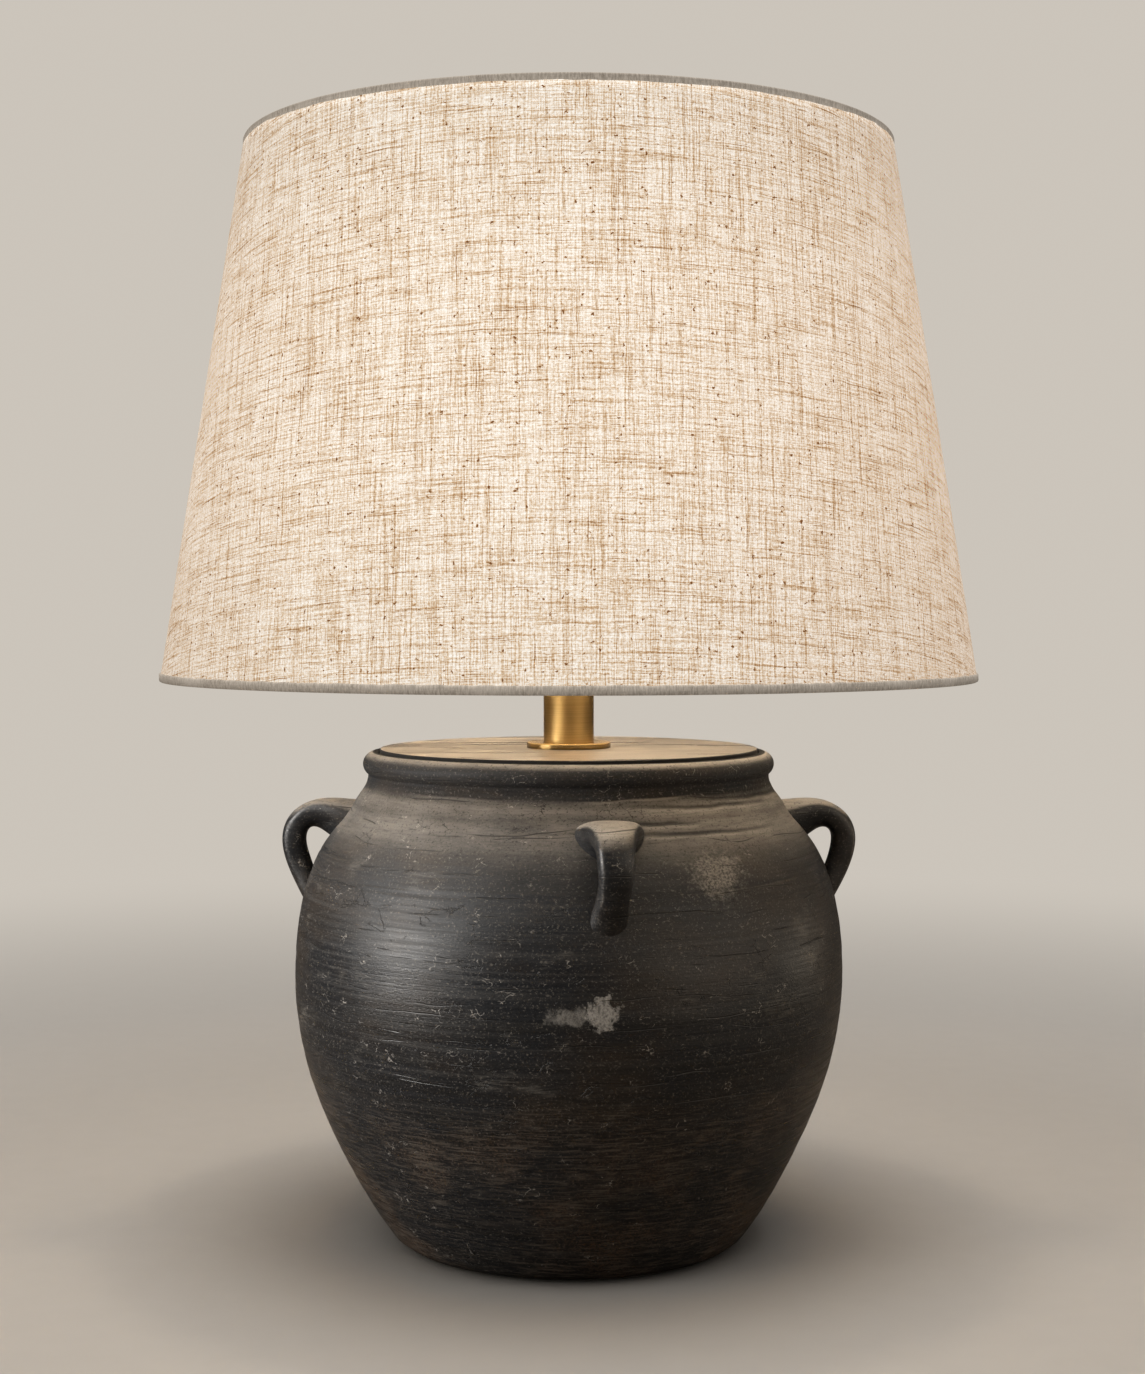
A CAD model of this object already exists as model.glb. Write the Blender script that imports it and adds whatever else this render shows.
import bmesh
import bpy
import math
import random
from mathutils import Matrix, Vector, geometry, noise


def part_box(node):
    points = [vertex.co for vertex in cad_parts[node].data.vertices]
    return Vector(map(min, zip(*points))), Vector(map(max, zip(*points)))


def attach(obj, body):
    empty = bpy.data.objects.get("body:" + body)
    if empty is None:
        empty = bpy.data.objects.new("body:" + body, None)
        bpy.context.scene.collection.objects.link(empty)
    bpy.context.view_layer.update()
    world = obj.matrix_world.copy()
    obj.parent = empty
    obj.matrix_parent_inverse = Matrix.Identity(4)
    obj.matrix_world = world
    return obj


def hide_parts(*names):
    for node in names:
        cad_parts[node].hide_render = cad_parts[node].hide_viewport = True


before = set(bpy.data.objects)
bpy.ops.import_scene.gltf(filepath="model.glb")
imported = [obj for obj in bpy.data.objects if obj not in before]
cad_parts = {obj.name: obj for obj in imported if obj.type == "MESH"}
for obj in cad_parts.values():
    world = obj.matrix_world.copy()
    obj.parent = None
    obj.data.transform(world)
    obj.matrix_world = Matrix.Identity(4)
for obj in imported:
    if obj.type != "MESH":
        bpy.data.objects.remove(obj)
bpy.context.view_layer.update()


# Felt: a round pad of pressed charcoal wool, die-cut and glued under the foot of the pot
# so that the fired clay doesn't scratch what it stands on. The modelled solid stays as it is.
mm = 0.001


def join(tree, socket, value):
    """Links another node's output into a socket, or sets the socket's own value."""
    if isinstance(value, bpy.types.NodeSocket):
        tree.links.new(value, socket)
    else:
        socket.default_value = value


def dress(tree, node, **sockets):
    """Sets or links a node's inputs by name, with an underscore for each space."""
    for name, value in sockets.items():
        join(tree, node.inputs[name.replace("_", " ")], value)


def put(tree, kind, options=None, **sockets):
    """One shader node, with its options and with its inputs by name."""
    node = tree.nodes.new("ShaderNode" + kind)
    for option, value in (options or {}).items():
        setattr(node, option, value)
    dress(tree, node, **sockets)
    return node


def dye(tree, amount, under, over, mode="MIX"):
    """One colour laid over another by a share from 0 to 1."""
    node = put(tree, "Mix", {"data_type": "RGBA", "blend_type": mode, "clamp_factor": True})
    for place, value in ((0, amount), (6, under), (7, over)):
        join(tree, node.inputs[place], value)
    return node.outputs[2]


def grain(tree, coords, sizes, detail=2.0, rough=0.5, shift=(0.0, 0.0, 0.0)):
    """Noise whose features have a given size, in metres, along each axis."""
    scaled = put(tree, "Mapping", Vector=coords, Scale=[1 / s for s in sizes], Location=shift)
    return put(
        tree, "TexNoise", Vector=scaled.outputs[0], Scale=1.0, Detail=detail, Roughness=rough
    ).outputs[0]


def emboss(tree, shader, height, distance, strength=1.0):
    """Relief on a shader from a height between 0 and 1, a given distance deep."""
    bump = put(tree, "Bump", Height=height, Distance=distance, Strength=strength)
    dress(tree, shader, Normal=bump.outputs[0])


def object_coords(tree):
    """The lamp's own coordinates, in metres."""
    return put(tree, "TexCoord").outputs["Object"]


def new_finish(name):
    """A material, its node tree, its surface shader and its coordinates."""
    finish = bpy.data.materials.new(name)
    finish.use_nodes = True
    tree = finish.node_tree
    return finish, tree, tree.nodes["Principled BSDF"], object_coords(tree)


def coat(finish, *names):
    """Gives CAD nodes, which keep their shape, a finish."""
    for name in names:
        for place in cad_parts[name].material_slots:
            place.material = finish


felt, tree, shader, coords = new_finish("pressed_felt")
fibres = grain(tree, coords, (0.0011, 0.0011, 0.0011), 4.0, 0.7)
tufts = grain(tree, coords, (0.006, 0.006, 0.006), 3.0)
felt_colour = dye(tree, fibres, (0.012, 0.012, 0.013, 1), (0.07, 0.068, 0.066, 1))
dress(
    tree, shader, Base_Color=dye(tree, tufts, felt_colour, (0.03, 0.029, 0.028, 1)), Roughness=0.95,
    Sheen_Weight=0.4,
)
emboss(tree, shader, fibres, 0.4 * mm)
coat(felt, "base_felt")


# Pot: a jar of smoked earthenware, thrown on a wheel, burnished while leather-hard and fired
# black. Its wall shows the thrower's rings, tool grooves on the shoulder, pits and ash; its
# rim is rolled outwards, and the back of its foot is drilled for the cord's grommet.
pot_wall_line = [
    (97.0, 1.5), (126.0, 48.0), (149.3, 109.0), (153.9, 150.0),
    (141.0, 216.4), (120.8, 244.8), (113.0, 259.5),
]
foot_lean = Vector((0.62, 0.78))
neck_lean = Vector((0.0, 1.0))
rim_roll_centre, rim_roll_radius = Vector((109.3, 266.2)), 6.6
lid_seat = [(107.5, 268.1), (103.0, 268.1)]
pot_inside = [
    (103.0, 262.0), (104.0, 256.0), (111.8, 244.8), (132.0, 216.4), (144.9, 150.0),
    (140.3, 109.0), (117.0, 48.0), (103.0, 27.5), (5.3, 27.5), (5.3, 17.5), (78.0, 17.5), (78.0, 1.5),
]
pot_turns = 336
lower_rows, shoulder_rows, shoulder_from = 2.1, 0.8, 196.0
foot_edge, foot_edge_top = [(94.0, 1.5), (95.6, 1.9), (97.2, 3.0)], 4.2
roll_foot, roll_inside, roll_steps = -5.465, 1.8, 26
underside_reach, seat_reach, seat_floor, calm_from = 93.0, 109.0, 255.0, 258.0
groove_count, groove_shadow, groove_near = 26, 0.4, 8.0
wobble_high, ring_high, fine_ring_high, lump_high, rim_calm = 0.5, 0.15, 0.06, 0.16, 0.45
inlet_height, inlet_seat, inlet_bore, inlet_pocket = 9.5, 93.0, 5.0, 7.5
bore_from, bore_reach, pocket_reach = 70.0, 40.0, 20.0


def smooth_line(stations, first, last, spacing):
    """Points on a smooth line through stations, about a spacing apart."""
    points = [Vector(s) for s in stations]
    chords = [(b - a).length for a, b in zip(points, points[1:])]
    leans = [first.normalized()]
    for before, point, after, a, b in zip(points, points[1:], points[2:], chords, chords[1:]):
        leans.append(((point - before) / a * b + (after - point) / b * a) / (a + b))
    leans.append(last.normalized())
    line = [points[0]]
    for k, chord in enumerate(chords):
        count = max(2, round(chord / spacing) + 1)
        start, end = points[k].to_3d(), points[k + 1].to_3d()
        reach = chord / 3
        bend = geometry.interpolate_bezier(
            start, start + leans[k].to_3d() * reach, end - leans[k + 1].to_3d() * reach, end, count
        )
        line += [p.to_2d() for p in bend[1:]]
    return line


def turn_on_wheel(bm, outline, turns, closed=True):
    """Turns an outline of (radius, height) in millimetres round the lamp's axis."""
    ring = [bm.verts.new((0, -p[0] * mm, p[1] * mm)) for p in outline]
    edges = [bm.edges.new(pair) for pair in zip(ring, ring[1:])]
    if closed:
        edges.append(bm.edges.new((ring[-1], ring[0])))
    bmesh.ops.spin(
        bm, geom=ring + edges, cent=(0, 0, 0), axis=(0, 0, 1), angle=2 * math.pi,
        steps=turns, use_merge=True,
    )
    bmesh.ops.remove_doubles(bm, verts=bm.verts, dist=0.002 * mm)
    bmesh.ops.recalc_face_normals(bm, faces=bm.faces)


def new_piece(name, bm, finish):
    """A bmesh as a finished piece in the scene."""
    mesh = bpy.data.meshes.new(name)
    bm.to_mesh(mesh)
    bm.free()
    mesh.polygons.foreach_set("use_smooth", [True] * len(mesh.polygons))
    mesh.materials.append(finish)
    piece = bpy.data.objects.new(name, mesh)
    bpy.context.scene.collection.objects.link(piece)
    return piece


def cut_away(piece, cutter):
    """Cuts a tool's shape out of a piece for good."""
    knife = piece.modifiers.new("cut", "BOOLEAN")
    knife.object, knife.operation, knife.solver = cutter, "DIFFERENCE", "EXACT"
    shapes = bpy.context.evaluated_depsgraph_get()
    cut = bpy.data.meshes.new_from_object(piece.evaluated_get(shapes))
    piece.modifiers.clear()
    piece.data = cut
    bpy.data.objects.remove(cutter)


roll_start = math.asin(roll_foot / rim_roll_radius)
roll_end = math.pi - math.acos(roll_inside / rim_roll_radius)
coarse_line = smooth_line(pot_wall_line, foot_lean, neck_lean, lower_rows)
fine_line = smooth_line(pot_wall_line, foot_lean, neck_lean, shoulder_rows)
wall = [p for p in coarse_line if foot_edge_top < p.y < shoulder_from]
wall += [p for p in fine_line if p.y >= shoulder_from]
roll = [
    rim_roll_centre + rim_roll_radius * Vector((math.cos(a), math.sin(a)))
    for a in (roll_start + (roll_end - roll_start) * k / roll_steps for k in range(roll_steps + 1))
]
outline = foot_edge + wall + roll + lid_seat + pot_inside

bm = bmesh.new()
turn_on_wheel(bm, outline, pot_turns)
bm.normal_update()
grooves = random.Random(41)
scored = []
for _ in range(groove_count):
    scored.append((
        grooves.uniform(-math.pi, math.pi),
        grooves.uniform(0.12, 0.55),
        grooves.uniform(200, 257),
        grooves.uniform(-4.0, 4.0),
        grooves.uniform(0.16, 0.42),
        grooves.uniform(0.7, 1.1),
    ))
score_layer = bm.verts.layers.float.new("scored")
for v in bm.verts:
    x, y, z = v.co / mm
    radius = math.hypot(x, y)
    in_the_seat = radius < seat_reach and z > seat_floor
    faces_inwards = v.normal.x * x + v.normal.y * y < -0.2 * radius
    if radius < underside_reach or in_the_seat or faces_inwards:
        continue
    azimuth = math.atan2(x, -y)
    wobble = wobble_high * noise.noise((x / 140, y / 140, z / 120))
    rings = ring_high * noise.noise((x / 170, y / 170, z / 6.5))
    rings += fine_ring_high * noise.noise((x / 60, y / 60, z / 3.2))
    lumps = lump_high * noise.noise((x / 17, y / 17, z / 14))
    calm = rim_calm if z > calm_from else 1.0
    depth = 0.0
    for place, reach, height, slope, deep, broad in scored:
        if abs(z - height) > groove_near:
            continue
        along = ((azimuth - place + math.pi) % (2 * math.pi) - math.pi) / reach
        if abs(along) >= 1:
            continue
        off = z - height - slope * along * reach - 0.9 * noise.noise((azimuth * 9, height, 0.5))
        depth += deep * (1 - along * along) * math.exp(-((off / broad) ** 2))
    v[score_layer] = min(1.0, depth / groove_shadow)
    v.co += v.normal * (wobble + (rings + lumps) * calm - depth) * mm


def reckon(tree, operation, *values):
    """One sum on numbers."""
    node = put(tree, "Math", {"operation": operation})
    for socket, value in zip(node.inputs, values):
        join(tree, socket, value)
    return node.outputs[0]


def between(tree, value, low, high, start=0.0, end=1.0):
    """A smooth step from start to end while a value goes from low to high."""
    return put(
        tree, "MapRange", {"interpolation_type": "SMOOTHSTEP"},
        Value=value, From_Min=low, From_Max=high, To_Min=start, To_Max=end,
    ).outputs[0]


def axes(tree, vector):
    """The three parts of a vector, as X, Y and Z."""
    return put(tree, "SeparateXYZ", Vector=vector).outputs


def chain(tree, operation, result, *others):
    """One sum after another, on a row of numbers."""
    for other in others:
        result = reckon(tree, operation, result, other)
    return result


def share(tree, *values):
    """Numbers, multiplied."""
    return chain(tree, "MULTIPLY", *values)


def total(tree, *values):
    """Numbers, added up."""
    return chain(tree, "ADD", *values)


def either(tree, *values):
    """The highest of some numbers."""
    return chain(tree, "MAXIMUM", *values)


def ruffle(tree, coords, fineness, detail, reach):
    """Coordinates, pushed about at random by up to half a reach along each axis."""
    push = put(tree, "TexNoise", Vector=coords, Scale=fineness, Detail=detail).outputs["Color"]
    push = put(tree, "VectorMath", {"operation": "SUBTRACT"}, Vector=push)
    push.inputs[1].default_value = (0.5, 0.5, 0.5)
    pushed = put(tree, "VectorMath", {"operation": "MULTIPLY_ADD"}, Vector=push.outputs[0])
    pushed.inputs[1].default_value = reach
    tree.links.new(coords, pushed.inputs[2])
    return pushed.outputs[0]


def length(tree, vector):
    """How long a vector is."""
    return put(tree, "VectorMath", {"operation": "LENGTH"}, Vector=vector).outputs["Value"]


def drawn_line(tree, value, breadth):
    """A thin line where a noise passes its middle."""
    return between(tree, reckon(tree, "ABSOLUTE", reckon(tree, "SUBTRACT", value, 0.5)), breadth, 0.0)


def flecks(tree, coords, size, radius, chosen_share, shift=(0.0, 0.0, 0.0)):
    """Small spots, one in a share of cells of a given size, with a radius as part of a cell."""
    scaled = put(tree, "Mapping", Vector=coords, Scale=[1 / size] * 3, Location=shift)
    cells = put(tree, "TexVoronoi", Vector=scaled.outputs[0], Scale=1.0, Randomness=1.0)
    picked = put(tree, "SeparateColor", Color=cells.outputs["Color"])
    chosen = between(tree, picked.outputs[0], 1 - chosen_share, 1 - chosen_share * 0.4)
    spot = between(tree, cells.outputs["Distance"], radius, radius * 0.5)
    return share(tree, chosen, spot)


earthenware, tree, shader, coords = new_finish("smoked_earthenware")
height = axes(tree, coords)["Z"]
streaks = grain(tree, coords, (0.10, 0.10, 0.0019), 5.0, 0.62)
bands = grain(tree, coords, (0.24, 0.24, 0.011), 3.0, 0.55)
clouds = grain(tree, coords, (0.075, 0.075, 0.05), 4.0, 0.55, (3.1, 0.4, 1.7))
patches = grain(tree, coords, (0.03, 0.03, 0.017), 5.0, 0.6, (7.3, 2.2, 0.9))
grit = grain(tree, coords, (0.0014, 0.0014, 0.0011), 3.0, 0.7)
rub = grain(tree, coords, (0.012, 0.012, 0.0009), 3.0, 0.65, (2.0, 6.0, 1.0))

# the spots and cracks are set out on a slightly crumpled copy of the coordinates
crumpled = ruffle(tree, coords, 620.0, 2.0, (0.0030, 0.0030, 0.0030))

# thin lines that the turning tool dragged round the wall, broken here and there
drag_lines = 0.0
for pitch, sway, seed in ((0.012, 0.016, 1.3), (0.021, 0.024, 6.8)):
    wander = grain(tree, coords, (0.11, 0.11, 0.06), 3.0, 0.45, (seed, 2 * seed, 0.0))
    level = reckon(tree, "MULTIPLY_ADD", wander, sway / pitch, reckon(tree, "DIVIDE", height, pitch))
    rings = put(
        tree, "TexVoronoi", {"voronoi_dimensions": "1D", "feature": "DISTANCE_TO_EDGE"}, W=level, Scale=1.0
    )
    broken = grain(tree, coords, (0.035, 0.035, 0.010), 2.0, 0.5, (0.0, seed, 3 * seed))
    line = between(tree, rings.outputs["Distance"], 0.00042 / pitch, 0.00006 / pitch)
    drag_lines = either(tree, drag_lines, share(tree, line, between(tree, broken, 0.50, 0.60)))
drag_lines = share(tree, drag_lines, between(tree, height, 0.04, 0.18, 0.5, 1.0))

# a net of fine cracks in a few places, and curled pale scratches in others
crackle = put(tree, "Mapping", Vector=crumpled, Scale=(1 / 0.012, 1 / 0.012, 1 / 0.008)).outputs[0]
crackle = put(tree, "TexVoronoi", {"feature": "DISTANCE_TO_EDGE"}, Vector=crackle, Scale=1.0).outputs[0]
crackled_where = grain(tree, coords, (0.022, 0.022, 0.016), 2.0, 0.5, (9.0, 1.0, 4.0))
crackle = share(tree, between(tree, crackle, 0.026, 0.0), between(tree, crackled_where, 0.58, 0.66))
curls = drawn_line(tree, grain(tree, coords, (0.0085, 0.0085, 0.0055), 2.0, 0.5, (4.0, 4.0, 9.0)), 0.020)
curled_where = grain(tree, coords, (0.013, 0.013, 0.010), 2.0, 0.5, (6.0, 3.0, 2.0))
curls = share(tree, curls, between(tree, curled_where, 0.60, 0.68), between(tree, grit, 0.40, 0.54))
scored_in = put(tree, "Attribute", {"attribute_name": "scored"}).outputs["Fac"]

smoke_black, smoke_brown = (0.0085, 0.0093, 0.0112, 1), (0.019, 0.0142, 0.0108, 1)
clay = dye(tree, between(tree, clouds, 0.42, 0.68), smoke_black, smoke_brown)
clay = dye(tree, between(tree, streaks, 0.46, 0.70, 0.0, 0.5), clay, (0.026, 0.0235, 0.021, 1))
clay = dye(tree, between(tree, bands, 0.52, 0.36, 0.0, 0.6), clay, (0.0065, 0.0062, 0.0062, 1))

# dust lies where the shoulder and the rim face upwards, thinner on the lugs, which are handled
facing = axes(tree, put(tree, "NewGeometry").outputs["Normal"])["Z"]
on_rim = between(tree, height, 0.256, 0.259)
dust_from = between(tree, on_rim, 0, 1, 0.36, 0.42)
dust_full = between(tree, on_rim, 0, 1, 0.80, 0.96)
drift = total(tree, patches, clouds, -1.0)
uneven = reckon(tree, "MULTIPLY_ADD", drift, 0.13, facing)
out_from_axis = length(tree, put(tree, "Mapping", Vector=coords, Scale=(1.0, 1.0, 0.0)).outputs[0])
upper_lean, upper_reach = -0.711, 0.2949
lower_lean, lower_reach = -0.194, 0.1850
upper_wall = reckon(tree, "MULTIPLY_ADD", height, upper_lean, upper_reach)
lower_wall = reckon(tree, "MULTIPLY_ADD", height, lower_lean, lower_reach)
proud = reckon(tree, "SUBTRACT", out_from_axis, reckon(tree, "MINIMUM", upper_wall, lower_wall))
on_lug = share(tree, between(tree, proud, 0.004, 0.009), between(tree, height, 0.255, 0.250))
dusty = share(
    tree, between(tree, uneven, dust_from, dust_full), between(tree, height, 0.222, 0.243, 0.16, 1.0),
    between(tree, patches, 0.36, 0.58, 0.88, 1.0), between(tree, rub, 0.34, 0.58, 0.72, 1.0),
    between(tree, on_lug, 0, 1, 1.0, 0.72),
)
to_the_right = between(tree, axes(tree, coords)["X"], -0.03, 0.06)
dust = dye(tree, to_the_right, (0.205, 0.188, 0.168, 1), (0.325, 0.297, 0.260, 1))
clay = dye(tree, dusty, clay, dust)
clay = dye(tree, between(tree, grit, 0.57, 0.68, 0.0, 0.60), clay, (0.115, 0.104, 0.090, 1))
clay = dye(tree, between(tree, grit, 0.46, 0.32, 0.0, 0.7), clay, (0.003, 0.003, 0.003, 1))
rubbed = share(tree, between(tree, patches, 0.55, 0.72), between(tree, rub, 0.42, 0.62))
clay = dye(tree, share(tree, rubbed, 0.5), clay, (0.10, 0.092, 0.081, 1))

# red clay shows where the smoke was thin, low on the wall
low_down = between(tree, height, 0.11, 0.05)
embers = share(tree, between(tree, clouds, 0.45, 0.62), low_down, between(tree, grit, 0.44, 0.6))
clay = dye(tree, share(tree, embers, 0.85), clay, (0.070, 0.043, 0.028, 1))
drawn_low = share(
    tree, between(tree, height, 0.120, 0.075), between(tree, rub, 0.46, 0.64),
    between(tree, clouds, 0.36, 0.58, 0.35, 1.0),
)
clay = dye(tree, share(tree, drawn_low, 0.75), clay, (0.080, 0.066, 0.054, 1))

# specks of pale ash
ash_where = grain(tree, coords, (0.035, 0.035, 0.03), 2.0, 0.5, (2.0, 8.0, 3.0))
ash = flecks(tree, crumpled, 0.0034, 0.15, 0.14)
ash = share(tree, ash, between(tree, ash_where, 0.42, 0.62, 0.15, 1.0))
ash = either(tree, ash, flecks(tree, crumpled, 0.012, 0.07, 0.22, (5.0, 2.0, 8.0)))
pale = either(tree, share(tree, ash, 0.70), share(tree, curls, 0.75))
clay = dye(tree, pale, clay, (0.27, 0.250, 0.226, 1))


def worn_place(tree, coords, middle, reach, ragged):
    """Distance from the middle of a worn place, 1 at its ragged edge."""
    scale = [1 / r for r in reach]
    at = put(tree, "Mapping", Vector=coords, Scale=scale, Location=[-m * s for m, s in zip(middle, scale)])
    return reckon(tree, "ADD", length(tree, at.outputs[0]), ragged)


# two worn places, one on the front of the belly with a tail and one on the right of the shoulder
fray = grain(tree, coords, (0.0045, 0.0045, 0.0045), 4.0, 0.7)
ragged = reckon(tree, "MULTIPLY", reckon(tree, "SUBTRACT", fray, 0.5), 2.2)
scratches = grain(tree, coords, (0.0013, 0.004, 0.0017), 4.0, 0.75, (1.0, 4.0, 2.0))
scuffs = between(tree, scratches, 0.34, 0.62, 0.35, 1.0)
belly = worn_place(tree, coords, (0.0166, -0.152, 0.1512), (0.0078, 0.03, 0.0086), ragged)
tail = worn_place(tree, coords, (0.001, -0.153, 0.1505), (0.0125, 0.03, 0.0048), ragged)
rubbed_off = share(tree, between(tree, belly, 1.12, 0.80), scuffs)
rubbed_off = either(tree, rubbed_off, share(tree, between(tree, tail, 1.15, 0.55, 0.0, 0.55), scuffs))
scuffed = worn_place(tree, coords, (0.0765, -0.117, 0.2165), (0.016, 0.03, 0.013), ragged)
scuffed = share(tree, between(tree, scuffed, 1.2, 0.4, 0.0, 0.6), between(tree, grit, 0.38, 0.6, 0.2, 1.0))
clay = dye(tree, rubbed_off, clay, (0.25, 0.237, 0.218, 1))
clay = dye(tree, scuffed, clay, (0.24, 0.218, 0.19, 1))

# soot stays in the cuts, the lugs' edges are rubbed pale, and the joint with the lid is black
cut = either(tree, share(tree, drag_lines, 0.85), share(tree, crackle, 0.9), share(tree, scored_in, 0.6))
clay = dye(tree, cut, clay, (0.006, 0.0055, 0.005, 1))
arris = put(tree, "Attribute", {"attribute_name": "arris"}).outputs["Fac"]
arris = share(tree, between(tree, arris, 0.55, 1.0), between(tree, fray, 0.42, 0.60))
clay = dye(tree, share(tree, arris, 0.35), clay, (0.16, 0.146, 0.128, 1))
sooty = share(tree, on_rim, between(tree, out_from_axis, 0.1113, 0.1104))
clay = dye(tree, sooty, clay, (0.0025, 0.0025, 0.0025, 1))
dress(tree, shader, Base_Color=clay)

# the burnish is brightest on the belly and dull on the shoulder, the rim and the worn places
duller_high = between(tree, height, 0.160, 0.215, 0.0, 0.26)
under_rim = share(tree, between(tree, height, 0.238, 0.246), between(tree, height, 0.262, 0.258))
shine = total(
    tree, between(tree, streaks, 0.36, 0.66, 0.27, 0.44),
    either(tree, share(tree, on_rim, 0.10), share(tree, sooty, 0.6)), share(tree, dusty, 0.12),
    share(tree, duller_high, between(tree, on_lug, 0, 1, 1.0, 0.1)), share(tree, under_rim, 0.25),
    share(tree, rubbed_off, 0.2),
)
dress(tree, shader, Roughness=shine, Specular_IOR_Level=0.33)
pits = flecks(tree, crumpled, 0.006, 0.16, 0.35, (2.0, 9.0, 4.0))
relief = total(
    tree, share(tree, streaks, 0.13), share(tree, grit, 0.13), share(tree, rub, 0.07),
    share(tree, pits, -0.12), share(tree, cut, -0.22), share(tree, pale, 0.06),
)
emboss(tree, shader, relief, 1.0 * mm)

pot = new_piece("pot", bm, earthenware)
for bore, start, reach in ((inlet_bore, bore_from, bore_reach), (inlet_pocket, inlet_seat, pocket_reach)):
    drill = bmesh.new()
    bmesh.ops.create_cone(
        drill, cap_ends=True, segments=48, radius1=bore * mm, radius2=bore * mm, depth=reach * mm,
        matrix=Matrix.Translation((0, (start + reach / 2) * mm, inlet_height * mm))
        @ Matrix.Rotation(math.pi / 2, 4, "X"),
    )
    cut_away(pot, new_piece("drill", drill, earthenware))
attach(pot, "lamp_base")
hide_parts("pot_body")


# Lugs: four straps of clay, rolled flat, bent over and luted to the shoulder while wet; the
# potter's thumb has smeared the top of each one out on to the wall, and its foot is pressed in.
lug_azimuths = {"front": -81.3, "right": 0.0, "rear": 90.0, "left": 180.0}
lug_smears = {"front": (2.2, -3.4), "right": (1.6, 1.0), "rear": (-2.0, -2.0), "left": (-1.8, 1.5)}
lug_stations = [
    (109.0, 229.5, 20.5, 15.5, 1.10), (121.0, 230.5, 19.5, 14.6, 1.08), (129.5, 234.0, 17.6, 11.8, 1.0),
    (138.0, 237.0, 14.4, 9.0, 0.86), (146.0, 237.3, 11.8, 7.6, 0.74), (152.4, 233.6, 10.2, 7.2, 0.68),
    (155.7, 227.0, 9.4, 7.0, 0.68), (155.6, 219.0, 8.8, 6.9, 0.70), (153.0, 210.0, 8.5, 6.7, 0.74),
    (149.0, 201.0, 9.2, 6.5, 0.86), (144.6, 192.5, 10.8, 6.3, 1.0), (140.0, 183.0, 12.0, 5.6, 1.0),
    (135.5, 174.0, 12.0, 4.6, 1.0),
]
lug_root_shares = (1.0, 1.0, 0.9, 0.7, 0.4, 0.2)
lug_wing_lift = 6.0
lug_foot_shares = (0.15, 0.45, 0.8, 1.0, 1.0)
lug_winged_stations = 5
lug_sides, lug_arris_side, lug_arris_stations, lug_crease = 16, 6, range(3, 11), 0.22
lug_rounding = 3
thumb_high, finger_high = 0.6, 0.3
for side, azimuth in lug_azimuths.items():
    bm = bmesh.new()
    arris_layer = bm.verts.layers.float.new("arris")
    crease_layer = bm.edges.layers.float.new("crease_edge")
    turn = Matrix.Rotation(math.radians(azimuth), 4, "Z")
    rings = []
    corners = set()
    root_shift, foot_shift = lug_smears[side]
    shifts = [root_shift * s for s in lug_root_shares] + [0.0, 0.0]
    shifts += [foot_shift * s for s in lug_foot_shares]
    wings = lug_root_shares[:lug_winged_stations] + (0.0,) * (len(lug_stations) - lug_winged_stations)
    last = len(lug_stations) - 1
    for k, (reach, height, half_width, half_thickness, squareness) in enumerate(lug_stations):
        before, after = lug_stations[max(k - 1, 0)], lug_stations[min(k + 1, last)]
        lean = math.atan2(after[1] - before[1], after[0] - before[0])
        made = bmesh.ops.create_circle(bm, cap_ends=k in (0, last), segments=lug_sides, radius=1.0)
        ring = made["verts"]
        aside = shifts[k]
        for v in ring:
            around = round(math.atan2(v.co.y, v.co.x) / (2 * math.pi) * lug_sides) % lug_sides
            across = math.copysign(abs(v.co.x) ** squareness, v.co.x) * half_width + aside
            out = math.copysign(abs(v.co.y) ** squareness, v.co.y) * half_thickness
            wing = lug_wing_lift * wings[k] * (v.co.x * v.co.x)
            spot = Vector((reach - math.sin(lean) * out, across, height + math.cos(lean) * out + wing))
            thumb = thumb_high * noise.noise(spot / 9 + Vector((azimuth, 0, 0)))
            thumb += finger_high * noise.noise(spot / 4 + Vector((0, azimuth, 0)))
            spot += (spot - Vector((reach, aside, height))).normalized() * thumb
            v.co = turn @ (spot * mm)
            if around == lug_arris_side and k in lug_arris_stations:
                v[arris_layer] = 1.0
                corners.add(v)
        rings.append({e for v in ring for e in v.link_edges})
    for one, other in zip(rings, rings[1:]):
        bmesh.ops.bridge_loops(bm, edges=list(one | other))
    along_rings = set().union(*rings)
    for edge in bm.edges:
        if edge not in along_rings and all(v in corners for v in edge.verts):
            edge[crease_layer] = lug_crease
    bmesh.ops.recalc_face_normals(bm, faces=bm.faces)
    lug = new_piece(f"lug_{side}", bm, earthenware)
    rounding = lug.modifiers.new("rounding", "SUBSURF")
    rounding.levels = rounding.render_levels = lug_rounding
    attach(lug, "lamp_base")
    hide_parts(f"lug_handle_{side}")


# Cord grommet: a moulded black rubber bush, pushed into the hole in the back of the foot
# until its lip snaps over the wall inside. The modelled solid stays as it is.
rubber, tree, shader, coords = new_finish("black_rubber")
bloom = grain(tree, coords, (0.004, 0.004, 0.004), 4.0, 0.6)
dress(
    tree, shader, Base_Color=dye(tree, bloom, (0.010, 0.010, 0.010, 1), (0.028, 0.028, 0.027, 1)),
    Roughness=between(tree, bloom, 0.3, 0.7, 0.5, 0.72),
)
emboss(tree, shader, grain(tree, coords, (0.0006, 0.0006, 0.0006), 2.0), 0.05 * mm)
coat(rubber, "cord_grommet")


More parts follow.
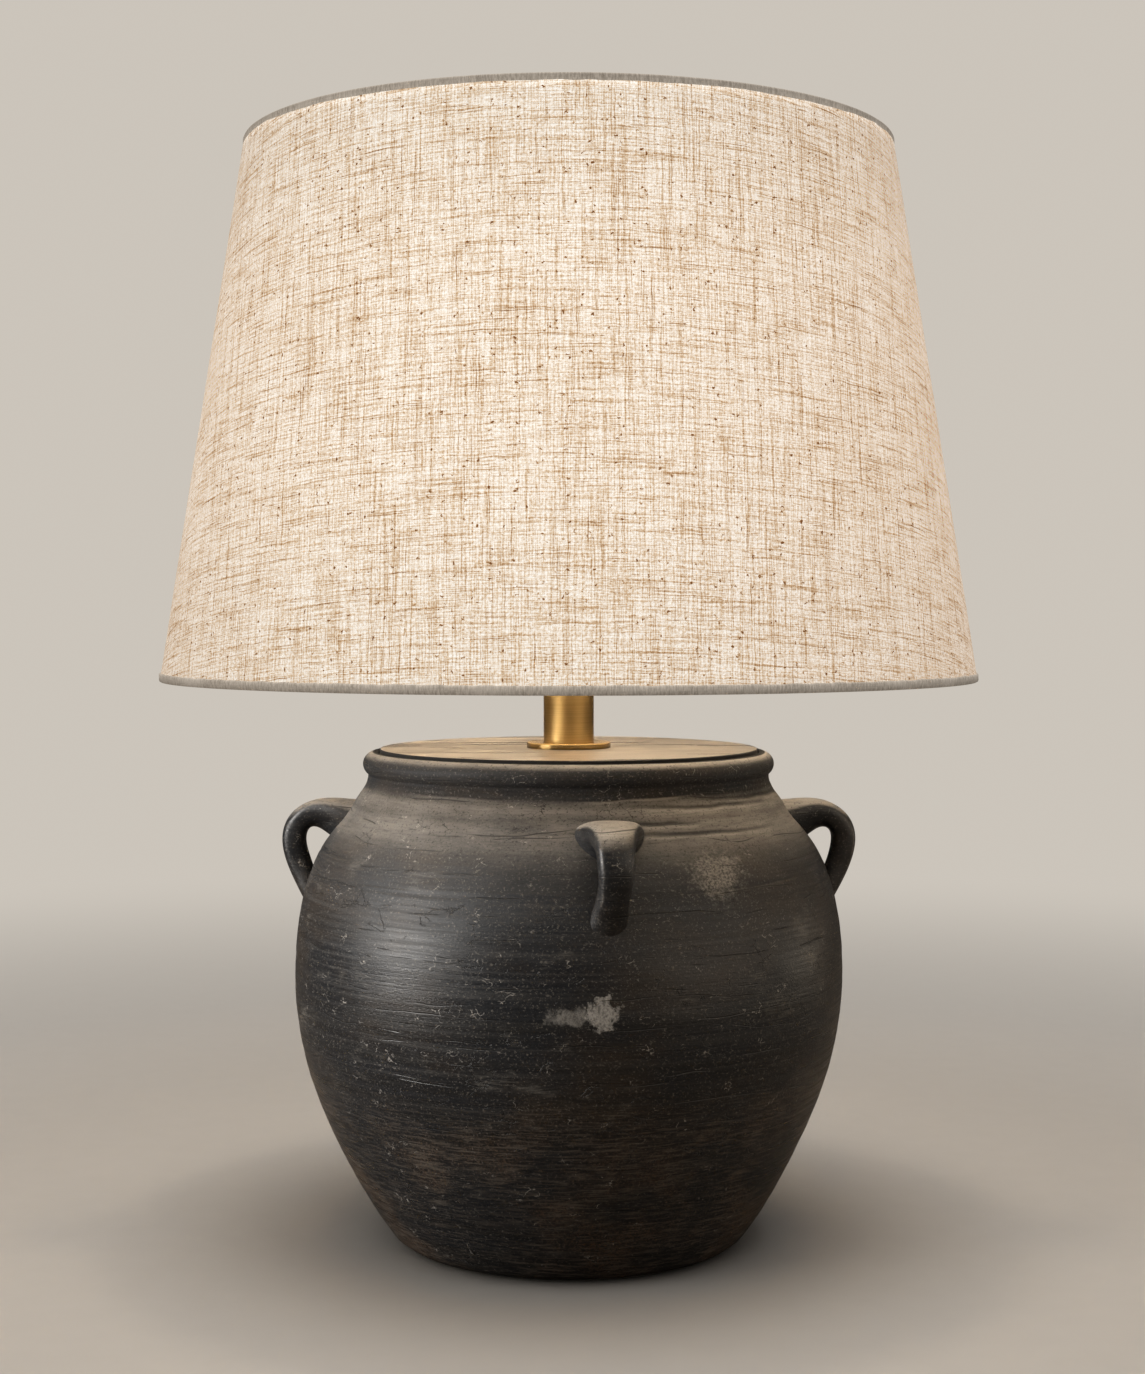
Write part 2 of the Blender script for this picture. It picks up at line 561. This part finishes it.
# Rod and its hardware: a hollow threaded steel rod runs from the foot to the lamp holder; a
# washer, a toothed lock washer and a nut under the floor of the pot clamp everything on it.
plated, tree, shader, coords = new_finish("zinc_plated_steel")
spangle = grain(tree, coords, (0.005, 0.005, 0.005), 4.0, 0.6)
dress(
    tree, shader, Base_Color=dye(tree, spangle, (0.50, 0.50, 0.49, 1), (0.68, 0.67, 0.65, 1)),
    Roughness=between(tree, spangle, 0.3, 0.7, 0.26, 0.44), Metallic=1.0,
)
emboss(tree, shader, grain(tree, coords, (0.0012, 0.0012, 0.0003), 2.0), 0.03 * mm)
coat(plated, "floor_washer", "lock_washer", "floor_nut", "lid_nut", "holder_set_screw", "terminal_screws")

rod_steel, tree, shader, coords = new_finish("threaded_steel")
half_pitch = 0.5 * mm
thread = between(tree, reckon(tree, "PINGPONG", axes(tree, coords)["Z"], half_pitch), 0.0, half_pitch)
dress(
    tree, shader, Base_Color=dye(tree, thread, (0.34, 0.33, 0.32, 1), (0.66, 0.65, 0.62, 1)),
    Metallic=1.0, Roughness=0.36,
)
emboss(tree, shader, thread, half_pitch)
coat(rod_steel, "threaded_rod")


# Lid: a thin disc of wood, cut from one wide board, stained brown, rubbed with satin wax and
# dropped into the seat of the rim on a dark gasket; its turned edge is left black.
wood, tree, shader, coords = new_finish("stained_wood")
board = put(tree, "Mapping", Vector=coords, Scale=(1 / 0.11, 1 / 0.014, 1 / 0.03), Location=(0.0, 3.0, 0.0))
figure = put(
    tree, "TexNoise", Vector=board.outputs[0], Scale=1.0, Detail=4.0, Roughness=0.55, Distortion=0.6
).outputs[0]
pores = grain(tree, coords, (0.016, 0.0007, 0.004), 3.0, 0.7)
mottle = grain(tree, coords, (0.048, 0.034, 0.03), 4.0, 0.55, (0.5, 2.5, 0.5))
stain = dye(tree, between(tree, figure, 0.34, 0.66), (0.090, 0.072, 0.055, 1), (0.410, 0.355, 0.292, 1))
stain = dye(tree, between(tree, mottle, 0.42, 0.66, 0.0, 0.62), stain, (0.112, 0.090, 0.070, 1))
stain = dye(tree, between(tree, pores, 0.47, 0.33, 0.0, 0.6), stain, (0.075, 0.053, 0.037, 1))
to_the_right = between(tree, axes(tree, coords)["X"], 0.0, 0.08, 0.0, 0.42)
stain = dye(tree, to_the_right, stain, (0.100, 0.080, 0.060, 1))
facing = axes(tree, put(tree, "NewGeometry").outputs["Normal"])["Z"]
on_edge = between(tree, facing, 0.985, 0.90)
stain = dye(tree, on_edge, stain, (0.003, 0.003, 0.003, 1))
wax = either(tree, between(tree, figure, 0.3, 0.7, 0.24, 0.40), share(tree, on_edge, 0.95))
dress(tree, shader, Base_Color=stain, Roughness=wax)
emboss(tree, shader, pores, 0.12 * mm)
coat(wood, "lid_disc")

gasket_cork, tree, shader, coords = new_finish("dark_gasket")
crumbs = grain(tree, coords, (0.0016, 0.0016, 0.0016), 3.0, 0.7)
dress(
    tree, shader, Base_Color=dye(tree, crumbs, (0.006, 0.006, 0.006, 1), (0.022, 0.020, 0.018, 1)),
    Roughness=0.9,
)
emboss(tree, shader, crumbs, 0.2 * mm)
coat(gasket_cork, "lid_gasket")


# Neck: a short brass tube on a turned brass flange, with a turned cap; all three are brushed
# on the lathe, so the fine scratches run round them and the lights stand up in columns.
def lathe_brass(name, bright, dull, low_rough, high_rough):
    """Brass with fine turned lines round the lamp's axis."""
    finish, tree, shader, coords = new_finish(name)
    lines = grain(tree, coords, (0.05, 0.05, 0.0005), 2.0, 0.6)
    film = grain(tree, coords, (0.018, 0.018, 0.022), 4.0, 0.6)
    colour = dye(tree, between(tree, lines, 0.3, 0.7), dull, bright)
    colour = dye(tree, between(tree, film, 0.45, 0.75, 0.0, 0.3), colour, dull)
    round_the_axis = put(tree, "Tangent", {"direction_type": "RADIAL", "axis": "Z"}).outputs[0]
    dress(
        tree, shader, Base_Color=colour, Roughness=between(tree, film, 0.3, 0.7, low_rough, high_rough),
        Metallic=1.0, Anisotropic=0.45, Tangent=round_the_axis,
    )
    emboss(tree, shader, lines, 0.003 * mm)
    return finish


brushed_brass = lathe_brass(
    "brushed_brass", (0.74, 0.495, 0.200, 1), (0.64, 0.410, 0.150, 1), 0.31, 0.37
)
coat(brushed_brass, "neck_tube", "neck_cap")

flange_brass = lathe_brass(
    "flange_brass", (0.55, 0.375, 0.155, 1), (0.43, 0.285, 0.110, 1), 0.20, 0.27
)
tree = flange_brass.node_tree
shader = tree.nodes["Principled BSDF"]
foot_line = between(tree, axes(tree, object_coords(tree))["Z"], 0.2764, 0.2750, 0.0, 0.75)
polished = shader.inputs["Base Color"].links[0].from_socket
dress(tree, shader, Base_Color=dye(tree, foot_line, polished, (0.07, 0.040, 0.012, 1)))
coat(flange_brass, "neck_flange")


# Harp: a bent steel wire with an eye, its saddle and its two locking sleeves, all plated in a
# thin pale brass that is brighter and smoother than the neck.
plated_brass, tree, shader, coords = new_finish("brass_plate")
film = grain(tree, coords, (0.012, 0.012, 0.02), 4.0, 0.6)
drawn = grain(tree, coords, (0.0008, 0.0008, 0.012), 2.0, 0.6)
dress(
    tree, shader, Base_Color=dye(tree, film, (0.74, 0.54, 0.27, 1), (0.84, 0.66, 0.38, 1)),
    Roughness=between(tree, film, 0.3, 0.7, 0.18, 0.34), Metallic=1.0,
)
emboss(tree, shader, drawn, 0.004 * mm)
coat(plated_brass, "harp_saddle", "harp_frame", "harp_sleeve_left", "harp_sleeve_right")


# Lamp holder: a spun brass cap and shell, snapped together round a pressed-paper sleeve, with
# a moulded switch block, two terminal screws and the threaded shell that takes the bulb.
holder_brass = lathe_brass("spun_brass", (0.82, 0.62, 0.33, 1), (0.68, 0.48, 0.23, 1), 0.2, 0.32)
coat(holder_brass, "holder_cap", "holder_shell", "screw_shell", "centre_contact")

paper, tree, shader, coords = new_finish("pressed_paper")
pulp = grain(tree, coords, (0.002, 0.002, 0.003), 4.0, 0.65)
dress(
    tree, shader, Base_Color=dye(tree, pulp, (0.44, 0.36, 0.24, 1), (0.62, 0.54, 0.39, 1)),
    Roughness=0.85,
)
emboss(tree, shader, pulp, 0.1 * mm)
coat(paper, "holder_paper_sleeve")

phenolic, tree, shader, coords = new_finish("black_phenolic")
flow = grain(tree, coords, (0.007, 0.007, 0.007), 4.0, 0.6)
dress(
    tree, shader, Base_Color=dye(tree, flow, (0.010, 0.0095, 0.009, 1), (0.024, 0.022, 0.020, 1)),
    Roughness=between(tree, flow, 0.3, 0.7, 0.22, 0.4),
)
emboss(tree, shader, grain(tree, coords, (0.0009, 0.0009, 0.0009), 2.0), 0.03 * mm)
coat(phenolic, "switch_block")


# Switch: a steel shaft through the side of the holder, with a fluted knob of black phenolic
# pressed on it, which turns the lamp on. The modelled solids stay as they are.
coat(plated, "switch_shaft")
coat(phenolic, "switch_knob")


# Bulb: a white moulded housing on an aluminium screw cap, with a round opal globe. The lamp is
# lit, so the globe glows.
bulb_metal, tree, shader, coords = new_finish("bulb_cap_metal")
half_pitch = 1.8 * mm
roll_thread = reckon(tree, "PINGPONG", axes(tree, coords)["Z"], half_pitch)
roll_thread = between(tree, roll_thread, 0.0, half_pitch)
dress(
    tree, shader, Base_Color=dye(tree, roll_thread, (0.56, 0.56, 0.55, 1), (0.80, 0.80, 0.79, 1)),
    Metallic=1.0, Roughness=0.3,
)
emboss(tree, shader, roll_thread, 0.6 * mm)
coat(bulb_metal, "bulb_screw_cap", "bulb_tip_contact")

bulb_white, tree, shader, coords = new_finish("bulb_housing_white")
blush = grain(tree, coords, (0.01, 0.01, 0.01), 3.0)
dress(
    tree, shader, Base_Color=dye(tree, blush, (0.70, 0.68, 0.64, 1), (0.80, 0.78, 0.74, 1)),
    Roughness=0.45,
)
emboss(tree, shader, grain(tree, coords, (0.0007, 0.0007, 0.0007), 2.0), 0.03 * mm)
coat(bulb_white, "bulb_housing", "bulb_led_board")
coat(phenolic, "bulb_insulator")

opal, tree, shader, coords = new_finish("lit_opal_globe")
crown = between(tree, axes(tree, coords)["Z"], 0.425, 0.472)
milk = grain(tree, coords, (0.02, 0.02, 0.02))
dress(
    tree, shader, Emission_Color=dye(tree, crown, (1.0, 0.86, 0.66, 1), (1.0, 0.93, 0.80, 1)),
    Emission_Strength=3.0, Base_Color=dye(tree, milk, (0.80, 0.76, 0.70, 1), (0.88, 0.85, 0.80, 1)),
    Roughness=0.3,
)
coat(opal, "bulb_globe")
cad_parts["bulb_globe"].visible_shadow = False

globe_middle, globe_radius = 0.4413, 0.0315
lamp_light = bpy.data.lights.new("bulb_light", "POINT")
lamp_light.energy = 3.7
lamp_light.color = (1.0, 0.81, 0.585)
lamp_light.shadow_soft_size = globe_radius
lamp_glow = bpy.data.objects.new("bulb_light", lamp_light)
lamp_glow.location = (0, 0, globe_middle)
lamp_glow.visible_camera = False
bpy.context.scene.collection.objects.link(lamp_glow)


# Wire frame of the shade: two steel rings, dipped in white paint, and a three-armed spider of
# brass-plated steel, welded to the upper ring; the spider sits on the plated swivel stud.
painted, tree, shader, coords = new_finish("dipped_white_paint")
runs = grain(tree, coords, (0.006, 0.006, 0.01), 3.0)
dress(
    tree, shader, Base_Color=dye(tree, runs, (0.62, 0.60, 0.56, 1), (0.74, 0.72, 0.68, 1)),
    Roughness=between(tree, runs, 0.3, 0.7, 0.3, 0.5),
)
emboss(tree, shader, runs, 0.06 * mm)
coat(plated_brass, "shade_spider", "swivel_stud")
coat(painted, "shade_ring_top", "shade_ring_bottom")


# Liner: a sheet of translucent white film that the linen is laminated on, rolled into a cone
# and lit from inside by the bulb.
film_finish, tree, shader, coords = new_finish("shade_film")
haze = grain(tree, coords, (0.04, 0.04, 0.05), 4.0, 0.5)
dress(
    tree, shader, Base_Color=dye(tree, haze, (0.66, 0.625, 0.560, 1), (0.71, 0.675, 0.610, 1)),
    Roughness=0.6,
)
emboss(tree, shader, grain(tree, coords, (0.0015, 0.0015, 0.0015), 2.0), 0.03 * mm)
coat(film_finish, "shade_liner")


# Linen: one piece of slub linen, cut flat as a sector of a ring, laminated on the film and
# closed by a glued lap at the back. Its threads stay straight in the flat cut, so round the
# cone the weft falls away from the middle of the front towards the sides.
linen_foot, linen_head = (227.98, 313.95), (182.32, 612.95)
linen_thick = 0.8
linen_turns, linen_rows = 240, 40
lap_angle = math.radians(2.6)
lap_lift, lap_columns = 0.75, 3
linen_ripple = 0.10

slope = (linen_foot[0] - linen_head[0]) / (linen_head[1] - linen_foot[1])
slant = math.hypot(linen_foot[0] - linen_head[0], linen_head[1] - linen_foot[1])
apex = linen_foot[1] + linen_foot[0] / slope
far_edge = math.hypot(linen_foot[0], apex - linen_foot[1])
sector = 2 * math.pi * linen_foot[0] / far_edge

bm = bmesh.new()
start = math.pi / 2 + lap_angle / 2
direction = Vector((math.cos(start), math.sin(start)))
seam = []
for k in range(linen_rows + 1):
    r = linen_foot[0] + (linen_head[0] - linen_foot[0]) * k / linen_rows
    z = linen_foot[1] + (linen_head[1] - linen_foot[1]) * k / linen_rows
    seam.append(bm.verts.new((direction.x * r * mm, direction.y * r * mm, z * mm)))
edges = [bm.edges.new(pair) for pair in zip(seam, seam[1:])]
once_round = bmesh.ops.spin(
    bm, geom=seam + edges, cent=(0, 0, 0), axis=(0, 0, 1), angle=2 * math.pi,
    steps=linen_turns, use_merge=False,
)
under_lap = set(bm.verts)
bmesh.ops.spin(
    bm, geom=once_round["geom_last"], cent=(0, 0, 0), axis=(0, 0, 1), angle=lap_angle,
    steps=lap_columns, use_merge=False,
)
for v in set(bm.verts) - under_lap:
    v.co += Vector((v.co.x, v.co.y, 0)).normalized() * lap_lift * mm
bmesh.ops.recalc_face_normals(bm, faces=bm.faces)


def azimuth_near(spot, middle=0.0):
    """A spot's azimuth from the front of the lamp, within half a turn of a middle."""
    azimuth = math.atan2(spot.x, -spot.y)
    return azimuth + 2 * math.pi * round((middle - azimuth) / (2 * math.pi))


flat_cut = bm.loops.layers.uv.new("flat_cut")
for face in bm.faces:
    middle = azimuth_near(face.calc_center_median())
    for loop in face.loops:
        spread = azimuth_near(loop.vert.co, middle) * sector / (2 * math.pi)
        up = loop.vert.co.z / mm - linen_foot[1]
        down = far_edge - up * slant / (linen_head[1] - linen_foot[1])
        loop[flat_cut].uv = (down * math.sin(spread) * mm, (far_edge - down * math.cos(spread)) * mm)

linen, tree, shader, coords = new_finish("slub_linen")
cloth = put(tree, "UVMap", {"uv_map": "flat_cut"}).outputs[0]


def thread_noise(tree, cloth, sizes, detail, rough, shift=(0.0, 0.0, 0.0)):
    """Noise drawn out along the threads, on a turned grid so that its seams never line up."""
    turned = put(
        tree, "Mapping", Vector=cloth, Scale=[1 / s for s in sizes], Rotation=(0, 0, 0.6), Location=shift
    ).outputs[0]
    return put(
        tree, "TexNoise", {"noise_dimensions": "2D"}, Vector=turned, Scale=1.0,
        Detail=detail, Roughness=rough,
    ).outputs[0]


wavy = ruffle(tree, cloth, 120.0, 1.0, (0.0013, 0.0013, 0.0))
warp = thread_noise(tree, wavy, (0.00068, 0.036, 1), 2.0, 0.65)
weft = thread_noise(tree, wavy, (0.032, 0.00068, 1), 2.0, 0.65, (3.3, 1.1, 0))
warp_bands = thread_noise(tree, wavy, (0.0028, 0.110, 1), 2.0, 0.5, (8.1, 0.2, 0))
weft_bands = thread_noise(tree, wavy, (0.060, 0.0025, 1), 2.0, 0.5, (1.7, 6.4, 0))
warp_slubs = thread_noise(tree, wavy, (0.0007, 0.045, 1), 1.0, 0.5, (5.5, 2.8, 0))
weft_slubs = thread_noise(tree, wavy, (0.034, 0.0007, 1), 1.0, 0.5, (2.9, 9.5, 0))
short_slubs = thread_noise(tree, wavy, (0.011, 0.0008, 1), 1.0, 0.5, (7.9, 1.5, 0))
fuzz = grain(tree, cloth, (0.0014, 0.0014, 1), 3.0, 0.8, (4.0, 7.0, 0))
cast = grain(tree, cloth, (0.06, 0.05, 1), 2.0, 0.5, (1.0, 2.0, 0))


def neps(tree, cloth, across, along, radius, chosen_share, shift):
    """Dark knots of flax, spread over the cloth, some of them faint."""
    scaled = put(tree, "Mapping", Vector=cloth, Scale=(1 / across, 1 / along, 1), Location=shift)
    cells = put(tree, "TexVoronoi", {"voronoi_dimensions": "2D"}, Vector=scaled.outputs[0], Scale=1.0)
    picked = put(tree, "SeparateColor", Color=cells.outputs["Color"])
    chosen = between(tree, picked.outputs[0], 1 - chosen_share, 1 - chosen_share * 0.3)
    return share(tree, chosen, between(tree, cells.outputs["Distance"], radius, radius * 0.35))


ruffled = ruffle(tree, cloth, 900.0, 1.0, (0.0022, 0.0022, 0.0))
knots = either(
    tree, neps(tree, ruffled, 0.012, 0.0058, 0.098, 0.30, (0, 0, 0)),
    neps(tree, ruffled, 0.0058, 0.013, 0.09, 0.26, (4.4, 3.3, 0)),
    neps(tree, ruffled, 0.0062, 0.0056, 0.11, 0.20, (1.9, 8.2, 0)),
    share(tree, neps(tree, ruffled, 0.0044, 0.0040, 0.11, 0.22, (8.3, 5.1, 0)), 0.75),
)

warp_threads = between(tree, warp, 0.40, 0.68)
weft_threads = between(tree, weft, 0.40, 0.68)
warp_heavy = reckon(tree, "MULTIPLY_ADD", warp_threads, 0.13, 0.05)
warp_heavy = share(tree, between(tree, warp_bands, 0.46, 0.72), warp_heavy)
weft_heavy = reckon(tree, "MULTIPLY_ADD", weft_threads, 0.18, 0.05)
weft_heavy = share(tree, between(tree, weft_bands, 0.50, 0.74), weft_heavy)
thick = total(
    tree, reckon(tree, "MULTIPLY_ADD", warp_threads, 0.24, warp_heavy),
    reckon(tree, "MULTIPLY_ADD", weft_threads, 0.22, weft_heavy),
    between(tree, weft_slubs, 0.67, 0.84, 0.0, 0.44), between(tree, short_slubs, 0.72, 0.86, 0.0, 0.46),
    between(tree, warp_slubs, 0.67, 0.84, 0.0, 0.38), between(tree, fuzz, 0.34, 0.66, -0.15, 0.20),
    share(tree, reckon(tree, "SUBTRACT", cast, 0.5), 0.08), share(tree, knots, 0.90),
)

# the light that comes through is warmer and weaker where the cloth is thick
glow_ramp = put(tree, "ValToRGB", Fac=thick)
stops = glow_ramp.color_ramp.elements
stops[0].position, stops[0].color = 0.0, (0.985, 0.955, 0.900, 1)
stops[1].position, stops[1].color = 1.0, (0.20, 0.080, 0.024, 1)
for place, colour in (
    (0.14, (0.91, 0.832, 0.732, 1)), (0.28, (0.79, 0.658, 0.505, 1)),
    (0.46, (0.61, 0.440, 0.275, 1)), (0.70, (0.42, 0.235, 0.105, 1)),
):
    stop = stops.new(place)
    stop.color = colour
through = glow_ramp.outputs[0]
lit_height = axes(tree, coords)["Z"]
from_below = between(tree, lit_height, 0.300, 0.44, 0.90, 1.0)
from_above = between(tree, lit_height, 0.50, 0.63, 1.0, 0.82)
warmed = dye(tree, 1.0, through, (0.955, 0.850, 0.772, 1), "MULTIPLY")
dress(
    tree, shader, Base_Color=through, Roughness=0.9, Specular_IOR_Level=0.2,
    Emission_Color=warmed, Emission_Strength=share(tree, from_below, from_above, 0.665),
)
emboss(tree, shader, thick, 0.5 * mm, 0.9)
linen.cycles.emission_sampling = "NONE"

for v in bm.verts:
    x, y, z = v.co / mm
    outward = Vector((x, y, 0)).normalized()
    lift = linen_ripple * noise.noise((x / 40, y / 40, z / 30))
    v.co += outward * lift * mm
shade_linen = new_piece("shade_linen_cover", bm, linen)
wall_of_cloth = shade_linen.modifiers.new("cloth", "SOLIDIFY")
wall_of_cloth.thickness = linen_thick * mm
wall_of_cloth.offset = -1.0
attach(shade_linen, "shade")
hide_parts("shade_linen")


# Bindings: strips of the same linen in a closer grey-taupe weave, folded over the two wire
# rings and glued down inside and out; they are thick enough to stop most of the light.
shade_middle = 0.46345
binding_finish, tree, shader, coords = new_finish("linen_binding")
strip = put(tree, "UVMap", {"uv_map": "strip"}).outputs[0]
ribs = grain(tree, strip, (0.0009, 0.004, 1), 3.0, 0.7)
cross = grain(tree, strip, (0.012, 0.0007, 1), 2.0, 0.6, (2, 5, 0))
cast = grain(tree, strip, (0.03, 0.02, 1), 3.0, 0.5)
taupe = dye(tree, between(tree, ribs, 0.3, 0.7), (0.27, 0.232, 0.188, 1), (0.52, 0.460, 0.390, 1))
taupe = dye(tree, between(tree, cross, 0.42, 0.7, 0.0, 0.35), taupe, (0.28, 0.24, 0.20, 1))
taupe = dye(tree, between(tree, cast, 0.4, 0.7, 0.0, 0.35), taupe, (0.56, 0.50, 0.43, 1))
rise = axes(tree, coords)["Z"]
from_middle = reckon(tree, "ABSOLUTE", reckon(tree, "SUBTRACT", rise, shade_middle))
dress(
    tree, shader, Base_Color=taupe, Roughness=0.92, Specular_IOR_Level=0.2,
    Emission_Color=taupe, Emission_Strength=between(tree, from_middle, 0.1458, 0.1500, 0.62, 0.36),
)
emboss(tree, shader, ribs, 0.16 * mm)
binding_finish.cycles.emission_sampling = "NONE"
binding_turns, binding_deep, binding_uneven, binding_ripple = 480, 6.4, 0.5, 0.10
for level in ("top", "bottom"):
    low, high = (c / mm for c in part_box(f"shade_binding_{level}"))
    outer = high.x
    floor_z, roof_z = low.z, high.z
    tall = roof_z - floor_z
    tall_middle = abs((floor_z + roof_z) / 2 - shade_middle / mm)
    inner = outer - binding_deep
    fold = [
        (outer - 0.9, floor_z), (outer - 0.25, floor_z + 0.35), (outer, floor_z + 1.0),
        (outer - 0.05, floor_z + tall / 2), (outer, roof_z - 1.0), (outer - 0.25, roof_z - 0.35),
        (outer - 0.9, roof_z), (outer - 2.6, roof_z), (inner + 0.9, roof_z - 0.5),
        (inner, roof_z - tall / 2), (inner + 0.9, floor_z + 0.5), (outer - 2.6, floor_z),
    ]
    bm = bmesh.new()
    turn_on_wheel(bm, fold, binding_turns)
    along = bm.loops.layers.uv.new("strip")
    for face in bm.faces:
        middle = azimuth_near(face.calc_center_median())
        for loop in face.loops:
            spot = loop.vert.co
            loop[along].uv = (azimuth_near(spot, middle) * outer * mm, spot.z + math.hypot(spot.x, spot.y))
    for v in bm.verts:
        x, y, z = v.co / mm
        pull = binding_ripple * noise.noise((x / 14, y / 14, z / 5)) - binding_ripple
        v.co += Vector((x, y, 0)).normalized() * pull * mm
        if abs(z - shade_middle / mm) < tall_middle:
            v.co.z += binding_uneven * noise.noise((x / 7, y / 7, 3.0)) * mm
    binding = new_piece(f"shade_edge_{level}", bm, binding_finish)
    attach(binding, "shade")
    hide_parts(f"shade_binding_{level}")


# Finial: a knob turned from solid brass, which screws down on the stud and holds the shade.
# The modelled solid stays as it is, in the brass of the neck.
coat(brushed_brass, "finial")


# Set: a wide pale floor, a soft window-like light from the left, a weak warm one from the back
# on the right, an overhead fill, some cards that light only the linen, the brass or the clay,
# and a camera standing level in front of the lamp.
floor_finish, tree, shader, coords = new_finish("pale_floor")
tooth = grain(tree, coords, (0.02, 0.02, 0.02), 4.0)
away = length(tree, coords)
in_view = put(tree, "LightPath").outputs["Is Camera Ray"]
pale = dye(tree, tooth, (0.60, 0.565, 0.52, 1), (0.63, 0.595, 0.55, 1))
dress(
    tree, shader, Base_Color=dye(tree, in_view, (0.23, 0.190, 0.148, 1), pale), Roughness=0.7,
    Specular_IOR_Level=0.2,
)
haze_colour = (0.60, 0.555, 0.495)
horizon = put(tree, "Emission", Color=(*haze_colour, 1), Strength=1.0)
into_haze = share(tree, between(tree, away, 0.30, 1.7), in_view)
blend = put(tree, "MixShader", Fac=into_haze)
tree.links.new(shader.outputs[0], blend.inputs[1])
tree.links.new(horizon.outputs[0], blend.inputs[2])
tree.links.new(blend.outputs[0], tree.nodes["Material Output"].inputs["Surface"])
floor_finish.cycles.emission_sampling = "NONE"
bm = bmesh.new()
bmesh.ops.create_circle(bm, cap_ends=True, segments=96, radius=40.0)
studio_floor = new_piece("studio_floor", bm, floor_finish)

world = bpy.data.worlds.new("studio")
bpy.context.scene.world = world
world.use_nodes = True
tree = world.node_tree
backdrop = tree.nodes["Background"]
backdrop.inputs["Color"].default_value = (*haze_colour, 1)
room = put(tree, "Background", Color=(0.62, 0.60, 0.58, 1), Strength=0.16)
seen = put(tree, "LightPath").outputs["Is Camera Ray"]
choice = put(tree, "MixShader", Fac=seen)
tree.links.new(room.outputs[0], choice.inputs[1])
tree.links.new(backdrop.outputs[0], choice.inputs[2])
tree.links.new(choice.outputs[0], tree.nodes["World Output"].inputs["Surface"])


def soft_light(name, place, target, wide, tall, power, colour):
    """A large soft lamp of the set, out of the camera's sight."""
    light = bpy.data.lights.new(name, "AREA")
    light.shape, light.size, light.size_y = "RECTANGLE", wide, tall
    light.energy, light.color = power, colour
    lamp = bpy.data.objects.new(name, light)
    lamp.location = place
    lamp.rotation_euler = (Vector(target) - Vector(place)).to_track_quat("-Z", "Y").to_euler()
    lamp.visible_camera = False
    bpy.context.scene.collection.objects.link(lamp)
    return lamp


def light_only(lamps, pieces, leave_out=False):
    """Lets lamps of the set reach only some pieces, or all the others."""
    group = bpy.data.collections.new("lit_by_" + lamps[0].name)
    for piece in pieces:
        group.objects.link(piece)
    if leave_out:
        for place in group.collection_objects:
            place.light_linking.link_state = "EXCLUDE"
    for lamp in lamps:
        lamp.light_linking.receiver_collection = group


window = soft_light(
    "window", (-0.826, -0.355, 0.505), (-0.09, -0.12, 0.46), 0.40, 0.70, 16.2, (1.0, 0.97, 0.93)
)
side_glow = soft_light(
    "side_glow", (-1.20, -0.75, 0.60), (0, 0, 0.40), 0.5, 0.9, 2.4, (1.0, 0.96, 0.90)
)
warm_return = soft_light(
    "warm_return", (0.88, 0.19, 0.19), (0, 0, 0.15), 0.32, 0.24, 0.50, (1.0, 0.85, 0.66)
)
right_card = soft_light(
    "right_card", (1.02, -0.64, 0.45), (0, 0, 0.20), 1.3, 1.0, 4.6, (1.0, 0.86, 0.70)
)
shoulder_card = soft_light(
    "shoulder_card", (0.66, -0.70, 0.70), (0.05, -0.12, 0.22), 1.0, 0.6, 1.6, (1.0, 0.88, 0.73)
)
soft_light("overhead", (0.0, -0.3, 2.4), (0, 0, 0.3), 2.2, 2.2, 40.0, (1.0, 0.97, 0.94))
shade_fill = soft_light(
    "shade_fill", (-0.50, -1.60, 0.60), (0, 0, 0.46), 0.8, 0.8, 6.4, (0.66, 0.87, 1.0)
)
brass_card = soft_light(
    "brass_card", (0.95, -0.75, 0.45), (0, 0, 0.30), 0.9, 0.7, 0.50, (1.0, 0.82, 0.58)
)
left_card = soft_light(
    "left_card", (-0.83, -1.00, 0.45), (0, 0, 0.30), 0.44, 0.7, 1.6, (1.0, 0.90, 0.74)
)

# the shade glows by itself, and the floor and the neck are lit by the rest, so the lights from
# the sides miss them
edges = [bpy.data.objects[f"shade_edge_{level}"] for level in ("top", "bottom")]
neck = [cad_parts[name] for name in ("neck_flange", "neck_tube", "neck_cap")]
light_only((window, warm_return, right_card), [shade_linen, *edges, studio_floor, *neck], leave_out=True)

# the linen has a cool light of its own from the front, which fades towards its two sides
light_only((shade_fill,), [shade_linen])
light_only((side_glow,), [shade_linen], leave_out=True)

# two warm cards are set for the brass alone, and one for the clay
light_only((brass_card, left_card), neck[1:])
lugs = [bpy.data.objects[f"lug_{side}"] for side in lug_azimuths]
light_only((shoulder_card,), [pot, *lugs])

camera = bpy.data.objects.new("camera", bpy.data.cameras.new("camera"))
picture_wide, picture_tall = 1145, 1374
focal_pixels, middle_x, middle_y = 2196.7, 568.7, 604.16
camera.data.sensor_width = 36.0
camera.data.lens = camera.data.sensor_width * focal_pixels / picture_tall
camera.data.shift_x = (picture_wide / 2 - middle_x) / picture_tall
camera.data.shift_y = -(picture_tall / 2 - middle_y) / picture_tall
camera.data.clip_start, camera.data.clip_end = 0.05, 120.0
camera.location = (0, -1.24588, 0.35583)
camera.rotation_euler = (math.pi / 2, 0, 0)
bpy.context.scene.collection.objects.link(camera)
bpy.context.scene.camera = camera
bpy.context.scene.view_settings.view_transform = "Standard"
